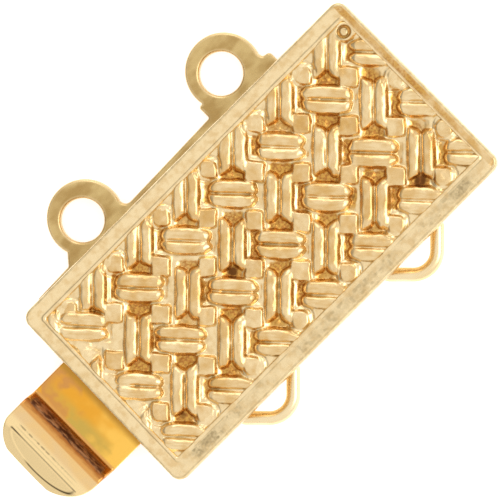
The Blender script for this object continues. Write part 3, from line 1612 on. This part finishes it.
@dataclass
class RingPlate:
    """Sliding tongue plate with its two rings, sheared from sheet.

    Attributes:
        out_x: Outer end of the plate.
        in_x: Inner end of the plate.
        low_y: Edge on the loop side.
        edge_y: Ring edge.
        lean: Lean of the ring edge, in degrees.
        middle_x: Middle between the two rings.
        ring_spacing: Distance between the rings.
        hole_r: Radius of a ring's hole.
        ring_r: Outer radius of a ring.
        ring_shift: Shift of a ring's outline from its hole, along the box.
        ring_rise: Height of a ring's middle over the ring edge.
        shoulders: Sheared shoulders at the left feet of the rings over the fold and over the
            tab, as (height, reach at its top, reach at its foot) from a ring outline's middle.
        neck_x: Where the neck of the fold ends.
        neck_w: Width of that neck.
        rim_r: Rounding of the tumbled edges.
        sheet: Thickness of its sheet.
    """

    out_x: float = -9.27
    in_x: float = 6.2
    low_y: float = -3.8
    edge_y: float = 5.71
    lean: float = 1.4
    middle_x: float = -0.63
    ring_spacing: float = 9.2
    hole_r: float = 1.0
    ring_r: float = 1.77
    ring_shift: float = 0.15
    ring_rise: float = 1.0
    shoulders: tuple[Triple, ...] = ((0.69, 1.98, 1.98), (0.50, 1.72, 2.14))
    neck_x: float = 6.6
    neck_w: float = 5.1
    rim_r: float = 0.15
    sheet: float = 0.5

    def leaned(self, points: Array) -> Array:
        """Turns points by the ring edge's lean about the middle between the rings.

        Args:
            points: Points of shape (n, 2).

        Returns:
            Points of the same shape.
        """
        angle = math.radians(self.lean)
        turn = np.array([[math.cos(angle), math.sin(angle)], [-math.sin(angle), math.cos(angle)]])
        pivot = np.array([self.middle_x, self.edge_y])
        return (points - pivot) @ turn + pivot

    def ring_points(self, middle_x: float, shoulder: Triple, last: bool) -> list[Triple]:
        """Lists a ring's outline from its right foot over the top to its left foot.

        Args:
            middle_x: Place of the ring along the edge.
            shoulder: Height and reaches of the sheared shoulder at its left foot.
            last: Whether the plate ends right after the ring, with a low shoulder.

        Returns:
            Corners as (x, y, radius).
        """
        x, y, edge = middle_x + self.ring_shift, self.edge_y + self.ring_rise, self.edge_y
        height, top, base = shoulder
        foot = math.degrees(math.asin((self.ring_rise - height) / self.ring_r))
        rim = arc((x, y), self.ring_r, -20.0, 180.0 + foot, 96)
        left = [(x - top, edge + height - 0.03, 0.14), (x - base, edge, 0.08)]
        if last:
            right = [(self.in_x, edge + 0.08, 0.16), (x + self.ring_r - 0.04, edge + 0.16, 0.15)]
        else:
            right = [(x + self.ring_r - 0.10, edge, 0.34)]
        return [*right, *((x, py, 0.0) for x, py in rim.tolist()), *left]

    def outline(self) -> Array:
        """Gives the plate's outer outline, anticlockwise.

        Returns:
            Evenly spaced points of shape (n, 2).
        """
        half_neck, half = self.neck_w / 2.0, self.ring_spacing / 2.0
        upper = self.ring_points(self.middle_x + half, self.shoulders[0], last=True)
        upper += self.ring_points(self.middle_x - half, self.shoulders[1], last=False)
        upper += [(self.out_x, self.edge_y, 0.10)]
        turned = self.leaned(np.array(upper)[:, :2])
        upper = [(x, y, r) for (x, y), (_, _, r) in zip(turned.tolist(), upper)]
        lower = [
            (self.out_x, self.low_y, 0.10), (self.in_x, self.low_y, 0.10), (self.in_x, -half_neck, 0.05),
            (self.neck_x, -half_neck, 0.03), (self.neck_x, half_neck, 0.03), (self.in_x, half_neck, 0.05),
        ]
        return respaced(filleted(lower + upper, closed=True, steps=7), 0.045, closed=True)

    def shell(self) -> Shell:
        """Makes the plate, with its rim brightened within a rounding's width of every edge.

        Returns:
            The closed plate with its two holes.
        """
        low = corner_mm("tongue_plate")[0][2]
        y = self.edge_y + self.ring_rise
        half = self.ring_spacing / 2.0
        holes = [
            self.leaned(arc((self.middle_x + side * half, y), self.hole_r, 360.0, 3.0, 120))
            for side in (-1.0, 1.0)
        ]
        loops = [self.outline(), *holes]
        profile = edge_profile(low, low + self.sheet, 0.06, self.rim_r)
        made = plate(loops, profile)
        inwards = np.concatenate([np.repeat(profile[:, 0], len(loop)) for loop in loops])
        above = ease(self.edge_y + 0.1, self.edge_y + 0.5, made.points[:, 1])
        made.values["rim"] = ease(self.rim_r + 0.02, self.rim_r * 0.3, inwards) * (0.25 + 0.75 * above)
        return made

    def build(self) -> Pieces:
        """Makes the plate with its rings."""
        return [self.shell().build("ring_plate")]

    def dress(self, pieces: Pieces) -> None:
        """Gives the plate its finish and places it on the sliding tongue."""
        attach(pieces, SatinGilt().material(), Body.TONGUE, "tongue_plate")


@dataclass
class SpringStrip:
    """Spring strip in one length: the fold, the leaf, its riser and the thumb tab.

    Attributes:
        width: Width of the strip.
        sheet: Thickness of its sheet.
        fold_x: Place of the fold's axis along the box.
        fold_z: Height of the fold's axis.
        fold_r: Inner radius of the fold and the bends.
        out_x: Outer end of the level leaf.
        riser: Steepness of the riser, in degrees.
        riser_run: Straight part of the riser.
        tab_run: Level part of the tab.
        slope: Slope of the tab's outer face, in degrees.
        face_run: Length of that face.
        corner_low_r: Radius of the tab's corner on the loop side.
        corner_high_r: Radius of the tab's corner on the ring side.
        bow: How far the tab's end stands out in its middle.
        edge_r: Rounding of the strip's long edges.
        chord_x: Place of the straight side of the tab's pressed face, which is half an ellipse.
        press_run: Half axis of that ellipse along the box.
        press_half: Half axis of that ellipse across the box.
        press_depth: Depth of the pressed face.
        crease_x: Place of the scored line that the tab was bent along.
        give: Length beside the fold over which the strip takes up its bending.
    """

    width: float = 5.1
    sheet: float = 0.5
    fold_x: float = 6.6
    fold_z: float = 1.19
    fold_r: float = 0.21
    out_x: float = -12.04
    riser: float = 60.0
    riser_run: float = 0.36
    tab_run: float = 0.78
    slope: float = 24.0
    face_run: float = 0.96
    corner_low_r: float = 1.85
    corner_high_r: float = 1.30
    bow: float = 0.12
    edge_r: float = 0.10
    chord_x: float = -13.96
    press_run: float = 0.71
    press_half: float = 2.07
    press_depth: float = 0.035
    crease_x: float = -13.61
    give: float = 0.6

    def moves(self) -> list[Pair]:
        """Lists the straight runs and the bends of the strip's outer face.

        Returns:
            Each as (length, turn to the left in degrees), from the fold to the tab's end.
        """
        outer = self.fold_r + self.sheet

        def bend(degrees: float, radius: float) -> Pair:
            """Gives the move of a bend from its angle and its radius."""
            return radius * math.radians(abs(degrees)), degrees

        return [
            bend(180.0, outer), (self.fold_x - self.out_x, 0.0), bend(-self.riser, self.fold_r),
            (self.riser_run, 0.0), bend(self.riser, outer), (self.tab_run, 0.0),
            bend(self.slope, outer), (self.face_run, 0.0),
        ]

    def line_at(self, s: Array) -> tuple[Array, Array]:
        """Follows the strip's outer face in side view, move by move.

        On a straight move the point goes on by the length passed. On a bend it goes round by
        the same share of the turn as of the length.

        Args:
            s: Lengths from the start of the fold.

        Returns:
            Points as (x, z), and headings in radians.
        """
        point = np.array([self.fold_x, self.fold_z - self.fold_r - self.sheet])
        heading, start = 0.0, 0.0
        points, headings = np.zeros((len(s), 2)), np.zeros(len(s))
        for length, turn in self.moves():
            gone = np.clip(s - start, 0.0, length)
            angle = math.radians(turn)
            if turn == 0.0:
                path = point + gone[:, None] * (math.cos(heading), math.sin(heading))
                now = heading + 0.0 * gone
            else:
                radius = length / angle
                middle = point + radius * np.array([-math.sin(heading), math.cos(heading)])
                now = heading + angle * gone / length
                path = middle + radius * np.stack([np.sin(now), -np.cos(now)], axis=1)
            mine = s >= start
            points[mine], headings[mine] = path[mine], now[mine]
            end = path[np.argmax(gone)] if gone.max() == length else path[-1]
            point, heading, start = end, heading + angle, start + length
        return points, headings

    def stations(self) -> Array:
        """Chooses lengths along the strip, close together where it bends or shows.

        Returns:
            The lengths, of which the last is the tab's end.
        """
        ends = np.concatenate([[0.0], np.cumsum([length for length, _ in self.moves()])])
        fold_end, leaf_end, total = ends[1], ends[2], ends[-1]
        shown = leaf_end - 2.4
        corner = self.corner_low_r / math.cos(math.radians(self.slope))
        round_start = total - corner
        tip = np.sin(np.radians(np.linspace(0.0, 90.0, 90)))
        return np.concatenate([
            np.linspace(0.0, fold_end, 25)[:-1], np.linspace(fold_end, shown, 44)[:-1],
            np.linspace(shown, leaf_end, 30)[:-1], np.linspace(leaf_end, round_start, 50)[:-1],
            round_start + corner * tip,
        ])

    def section(self) -> tuple[Array, Array]:
        """Gives the strip's section as shares of its half width and places through the sheet.

        Returns:
            Rows of (share of the half width, distance added to it), and depths below the outer
            face, in one closed turn.
        """
        r = self.edge_r
        top = np.linspace(-1.0, 1.0, 193)
        bottom = np.linspace(1.0, -1.0, 33)
        quarter = arc((0.0, 0.0), r, 90.0, 0.0, 5)[1:]
        right = np.stack([quarter[:, 0] - r, r - quarter[:, 1]], axis=1)
        flat = [np.stack([top, -r * top], axis=1), np.stack([bottom, -r * bottom], axis=1)]
        corners = [
            np.stack([side * np.ones(4), side * added], axis=1)
            for side in (1.0, -1.0) for added in (right[:, 0], right[::-1, 0])
        ]
        depth = self.sheet
        plan = np.concatenate([flat[0], corners[0], corners[1], flat[1], corners[2], corners[3]])
        through = np.concatenate([
            0.0 * top, right[:, 1], depth - right[::-1, 1], depth + 0.0 * bottom,
            depth - right[:, 1], right[::-1, 1],
        ])
        return plan, through

    def half_width(self, s: Array, radius: float) -> Array:
        """Gives half the strip's width along it, drawn in round a corner of the tab.

        Args:
            s: Lengths along the strip, of which the last is the tab's end.
            radius: Radius of the corner.

        Returns:
            The half width, less radius times 1 minus the cosine of a quarter turn's share.
        """
        corner = radius / math.cos(math.radians(self.slope))
        past = np.clip((s - s[-1] + corner) / corner, 0.0, 1.0)
        return self.width / 2.0 - radius * (1.0 - np.sqrt(1.0 - past**2))

    def pressing(self, x: Array, y: Array) -> tuple[Array, Array]:
        """Gives the depth of what is pressed into the tab's top, and how dark its lines are.

        The pressed face is where the ellipse's own distance from its middle is below 1 and x is
        past the chord. Dirt lies in a line along parts of its rim and along the crease, and
        faintly in a second line beside the crease.

        Args:
            x: Place along the box.
            y: Place across the box.

        Returns:
            Depths below the plain top, and darkness from 0 to 1.
        """
        past = self.chord_x - x
        ring = np.hypot(past / self.press_run, y / self.press_half)
        inside = ease(0.0, 0.05, past) * ease(1.0, 0.94, ring)
        fine = 0.5 + 0.5 * value_noise(x, y, 0.11, 41)
        start = ease(1.1, 1.6, y) * ease(2.12, 2.04, y) + ease(-1.75, -1.95, y) * ease(-2.12, -2.05, y)
        chord = bell(past, 0.014 + 0.022 * ease(1.3, 1.9, y)) * (0.24 + 0.76 * start) * (np.abs(y) < 2.12)
        bow = bell((ring - 1.0) * self.press_run, 0.028) * (past > 0.0)
        bow = bow * (0.12 + 0.88 * ease(0.75, 0.3, y) * ease(-2.10, -1.9, y))
        crease = bell(x - self.crease_x, 0.022) * ease(1.95, 1.8, y) * ease(-1.95, -1.6, y)
        dashes = crease * (0.25 + 0.75 * ease(0.25, 0.6, fine) * ease(-1.9, 0.4, y))
        faint = 0.22 * bell(x - self.crease_x + 0.17, 0.02) * ease(2.0, 1.8, y) * ease(-2.0, -1.6, y)
        depth = self.press_depth * inside + 0.020 * (crease + bell(past, 0.03) * (np.abs(y) < 2.1))
        return depth + 0.010 * faint, np.clip(chord + bow + dashes + faint, 0.0, 1.0)

    def shell(self) -> Shell:
        """Carries the section along the strip, narrowing it to the tab's bowed end.

        The sheet's thickness closes to nothing over the last tenth of a millimetre, along a
        quarter circle.

        Returns:
            The closed strip, with what its finish reads.
        """
        s = self.stations()
        line, heading = self.line_at(s)
        total = s[-1]
        plan, through = self.section()
        low, high = self.half_width(s, self.corner_low_r), self.half_width(s, self.corner_high_r)
        half = np.where(plan[None, :, 0] < 0.0, low[:, None], high[:, None])
        y = half * plan[:, 0] + plan[:, 1] * np.minimum(1.0, half)
        tip = 0.10
        round_tip = tip * (1.0 - np.sqrt(1.0 - np.clip((s - total + tip) / tip, 0.0, 1.0) ** 2))
        middle = self.sheet / 2.0
        squeeze = 1.0 - round_tip / middle
        depth = middle + (through[None] - middle) * squeeze[:, None]

        drawn = self.bow * (y / self.width * 2.0) ** 2 * ease(total - 1.3, total, s)[:, None]
        into = np.stack([-np.sin(heading), np.cos(heading)], axis=1)
        ahead = np.stack([np.cos(heading), np.sin(heading)], axis=1)
        side = line[:, None] - ahead[:, None] * drawn[:, :, None]
        pressed, dark = self.pressing(side[..., 0], y)
        on_top = (through < 1e-9)[None] & (side[..., 0] < self.out_x)
        depth = depth + on_top * pressed
        side = side + into[:, None] * depth[:, :, None]
        points = np.stack([side[..., 0], y, side[..., 1]], axis=2)
        made = capped_tube(points)
        made.values["rest"] = made.points.copy()
        made.values["dirt"] = np.concatenate([(on_top * dark).ravel(), np.zeros(2)])
        return made

    def build(self) -> Pieces:
        """Makes the strip."""
        return [self.shell().build("spring_strip")]

    def dress(self, pieces: Pieces) -> None:
        """Gives the strip its finish and bends it from the tongue, which its fold joins.

        Args:
            pieces: The strip alone.
        """
        (strip,) = pieces
        strip.data.materials.append(SpringGilt().material())
        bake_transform(strip)
        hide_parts("spring_leaf")


def attach(pieces: Pieces, material: bpy.types.Material, body: Body, node: str) -> None:
    """Dresses pieces that stand for one CAD node and lets them ride on its body.

    Args:
        pieces: The pieces.
        material: Their material.
        body: The body that they ride on.
        node: The CAD node that they replace.
    """
    for piece in pieces:
        piece.data.materials.append(material)
        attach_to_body(piece, body.value)
        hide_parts(node)


@dataclass(frozen=True)
class Softbox:
    """A soft studio lamp aimed at the clasp.

    Attributes:
        name: Name of the lamp.
        azimuth: Direction that it stands in, from +X towards +Y, in degrees.
        height: Angle above the floor, in degrees.
        distance: Distance from the clasp, in metres.
        size: Side of its square screen, in metres.
        glow: Radiance of the screen, where a white floor in full light is about 1.
        tint: Colour of its light.
    """

    name: str
    azimuth: float
    height: float
    distance: float
    size: float
    glow: float
    tint: str = "#FFFFFF"

    def hang(self) -> None:
        """Makes the lamp. A square screen's power is its radiance times pi times its area."""
        lamp = bpy.data.lights.new(self.name, "AREA")
        lamp.shape = "SQUARE"
        lamp.size = self.size
        lamp.energy = self.glow * math.pi * self.size**2
        lamp.color = linear(self.tint)[:3]
        a, h = math.radians(self.azimuth), math.radians(self.height)
        away = Vector((math.cos(a) * math.cos(h), math.sin(a) * math.cos(h), math.sin(h)))
        hung = bpy.data.objects.new(self.name, lamp)
        hung.location = away * self.distance
        hung.rotation_mode = "QUATERNION"
        hung.rotation_quaternion = away.to_track_quat("Z", "Y")
        hung.visible_camera = False
        bpy.context.scene.collection.objects.link(hung)


@dataclass(frozen=True)
class Studio:
    """White table, soft white room and the camera over the clasp.

    Attributes:
        camera_mm: Distance of the camera from what it aims at.
        aim_mm: Point that the camera aims at.
        tilt: Angle of the view from straight down, in degrees.
        azimuth: Direction that the camera leans to, in degrees.
        roll: Turn of the picture, in degrees.
        scale: Pixels of the picture for one millimetre at the aim.
        picture: Side of the picture, in pixels.
        sensor_mm: Width of the sensor.
        table_z: Height of the table, in mm.
        table_glow: How strongly the table shines by itself.
        room_way: Direction that the room is bright in, as a weight for each axis.
        room_from: Its values at which the room is darkest and brightest.
        room_glow: Strength of the room's light at both.
        lamps: The two lamps.
    """

    camera_mm: float = 250.0
    aim_mm: Triple = (-0.651, 0.121, 2.0)
    tilt: float = 7.43
    azimuth: float = -42.2
    roll: float = -44.87
    scale: float = 22.163
    picture: float = 500.0
    sensor_mm: float = 36.0
    table_z: float = 0.01
    table_glow: float = 0.55
    room_way: Triple = (0.42, -0.42, 0.50)
    room_from: Pair = (-0.45, 0.05)
    room_glow: Pair = (0.40, 1.0)
    lamps: tuple[Softbox, ...] = (
        Softbox(name="key", azimuth=-45.0, height=42.0, distance=0.5, size=0.34, glow=1.9),
        Softbox(name="fill", azimuth=48.0, height=38.0, distance=0.6, size=0.30, glow=1.1),
    )

    def place_camera(self) -> None:
        """Sets the camera: up is the roll's direction in plan, made square to the view."""
        tilt, azimuth, roll = (math.radians(a) for a in (self.tilt, self.azimuth, self.roll))
        back = Vector((
            math.sin(tilt) * math.cos(azimuth), math.sin(tilt) * math.sin(azimuth), math.cos(tilt)
        ))
        up = Vector((-math.sin(roll), math.cos(roll), 0.0))
        up = (up - back * up.dot(back)).normalized()
        right = up.cross(back)
        data = bpy.data.cameras.new("camera")
        data.sensor_width = self.sensor_mm
        data.lens = self.scale * self.sensor_mm * self.camera_mm / self.picture
        data.clip_start, data.clip_end = 0.01, 10.0
        camera = bpy.data.objects.new("camera", data)
        turn = Matrix((right, up, back)).transposed().to_4x4()
        camera.matrix_world = Matrix.Translation((Vector(self.aim_mm) + back * self.camera_mm) * MM) @ turn
        bpy.context.scene.collection.objects.link(camera)
        bpy.context.scene.camera = camera

    def lay_table(self) -> None:
        """Lays a table of matt white acrylic that is lit from below.

        It gives an even white ground, as in pictures cut out on white, with a faint shadow. It
        lies a hair above the tray's back, so that the two planes are never in one place, and a
        view from below shows the back.
        """
        reach, z = 1.0, self.table_z * MM
        mesh = bpy.data.meshes.new("table")
        corners = [(-reach, -reach, z), (reach, -reach, z), (reach, reach, z), (-reach, reach, z)]
        mesh.from_pydata(corners, [], [(0, 1, 2, 3)])
        table = bpy.data.objects.new("table", mesh)
        bpy.context.scene.collection.objects.link(table)
        g = Graph("white_acrylic_table")
        white = linear("#FFFFFF")
        fill = {"Base Color": linear("#F2F2F2"), "Roughness": 0.6, "Emission Color": white}
        fill["Emission Strength"] = self.table_glow
        shader = add_node(g.tree, "ShaderNodeBsdfPrincipled", None, fill)
        add_node(g.tree, "ShaderNodeOutputMaterial", None, {"Surface": shader.outputs[0]})
        mesh.materials.append(g.material)

    def paint_room(self) -> None:
        """Paints the room: light overhead, falling towards the floor and away from one side."""
        world = bpy.data.worlds.new("studio")
        world.use_nodes = True
        bpy.context.scene.world = world
        tree = world.node_tree
        tree.nodes.clear()
        way = add_node(tree, "ShaderNodeTexCoord").outputs["Generated"]
        rise = {0: way, 1: self.room_way}
        dot = add_node(tree, "ShaderNodeVectorMath", {"operation": "DOT_PRODUCT"}, rise).outputs["Value"]
        light = {"Value": dot}
        light |= dict(zip(("From Min", "From Max", "To Min", "To Max"), self.room_from + self.room_glow))
        glow = add_node(tree, "ShaderNodeMapRange", {"interpolation_type": "SMOOTHSTEP"}, light).outputs[0]
        fill = {"Color": linear("#FFFFFF"), "Strength": glow}
        room = add_node(tree, "ShaderNodeBackground", None, fill)
        add_node(tree, "ShaderNodeOutputWorld", None, {"Surface": room.outputs[0]})

    def build(self) -> None:
        """Sets up the camera, the table, the room and its lamps."""
        self.place_camera()
        self.lay_table()
        self.paint_room()
        for lamp in self.lamps:
            lamp.hang()
        bpy.context.scene.view_settings.view_transform = "Standard"


def main() -> None:
    """Builds the studio and the clasp, and reports each piece."""
    logging.basicConfig(level=logging.INFO, format="%(name)s: %(message)s")
    Studio().build()
    for part in (Cover(), Tray(), RingPlate(), SpringStrip()):
        pieces = part.build()
        part.dress(pieces)
        for piece in pieces:
            log.info("%s of %s: %d faces", piece.name, type(part).__name__, len(piece.data.polygons))


if __name__ == "__main__":
    main()
